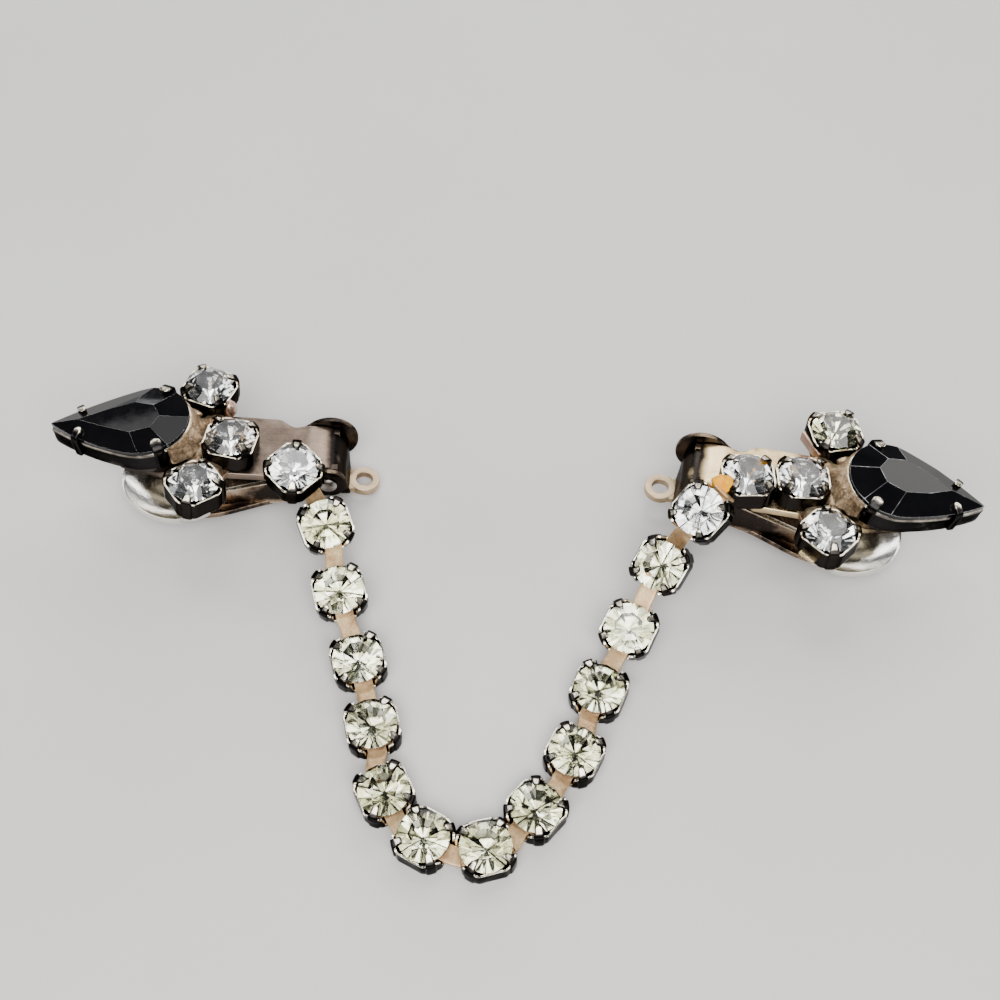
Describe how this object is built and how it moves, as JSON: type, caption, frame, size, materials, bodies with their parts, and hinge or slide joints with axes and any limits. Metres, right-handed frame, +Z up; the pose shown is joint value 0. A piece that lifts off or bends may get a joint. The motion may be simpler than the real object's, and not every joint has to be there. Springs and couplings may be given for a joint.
{
  "type": "sweater clip",
  "caption": "Two sprung jewelled clips, each with a black pear stone and round clear stones, joined by a chain of set round stones for holding a cardigan closed.",
  "frame": {"origin": "centre of the bounding box at the table it lies on", "axes": "+X from the left clip to the right clip, +Y away from the viewer, +Z up"},
  "size_m": [0.0854, 0.048, 0.0122],
  "materials": {
    "clip_metal": "worn, tarnished nickel-gold plate, brushed",
    "lever_metal": "worn plate, bright at the spoon, brown in the channel",
    "pin_metal": "dull",
    "spring_metal": "satin",
    "cup_metal": "blackened in the hollows, bright on the claws",
    "link_metal": "pinkish worn plate",
    "jet_glass": "polished, opaque black",
    "crystal": "polished, foil backed",
    "tinted_crystal": "polished, foil backed, yellowed"
  },
  "bodies": {
    "clips_and_chain": {"left_frame": "clip_metal", "left_hinge_pin": "pin_metal", "left_spring": "spring_metal", "left_pear_stone": "jet_glass", "left_back_stone": "crystal", "left_middle_stone": "crystal", "left_front_stone": "crystal", "left_end_stone": "crystal", "right_frame": "clip_metal", "right_hinge_pin": "pin_metal", "right_spring": "spring_metal", "right_pear_stone": "jet_glass", "right_back_stone": "crystal", "right_middle_stone": "crystal", "right_front_stone": "crystal", "right_end_stone": "crystal", "chain_links": "link_metal", "chain_cup_01": "cup_metal", "chain_cup_02": "cup_metal", "chain_cup_03": "cup_metal", "chain_cup_04": "cup_metal", "chain_cup_05": "cup_metal", "chain_cup_06": "cup_metal", "chain_cup_07": "cup_metal", "chain_cup_08": "cup_metal", "chain_cup_09": "cup_metal", "chain_cup_10": "cup_metal", "chain_cup_11": "cup_metal", "chain_cup_12": "cup_metal", "chain_cup_13": "cup_metal", "chain_stone_01": "tinted_crystal", "chain_stone_02": "tinted_crystal", "chain_stone_03": "tinted_crystal", "chain_stone_04": "tinted_crystal", "chain_stone_05": "tinted_crystal", "chain_stone_06": "tinted_crystal", "chain_stone_07": "tinted_crystal", "chain_stone_08": "tinted_crystal", "chain_stone_09": "tinted_crystal", "chain_stone_10": "tinted_crystal", "chain_stone_11": "tinted_crystal", "chain_stone_12": "tinted_crystal", "chain_stone_13": "tinted_crystal"},
    "left_lever": {"left_lever": "lever_metal"},
    "right_lever": {"right_lever": "lever_metal"}
  },
  "joints": [
    {"name": "left_lever_hinge", "type": "hinge", "parent": "clips_and_chain", "child": "left_lever", "pos_m": [-0.01756, 0.01554, 0.00393], "axis": [0.0177, -0.9877, 0.1554], "range_deg": [0, 75]},
    {"name": "right_lever_hinge", "type": "hinge", "parent": "clips_and_chain", "child": "right_lever", "pos_m": [0.01761, 0.01287, 0.00539], "axis": [0.1977, 0.9715, -0.1305], "range_deg": [0, 75]}
  ]
}
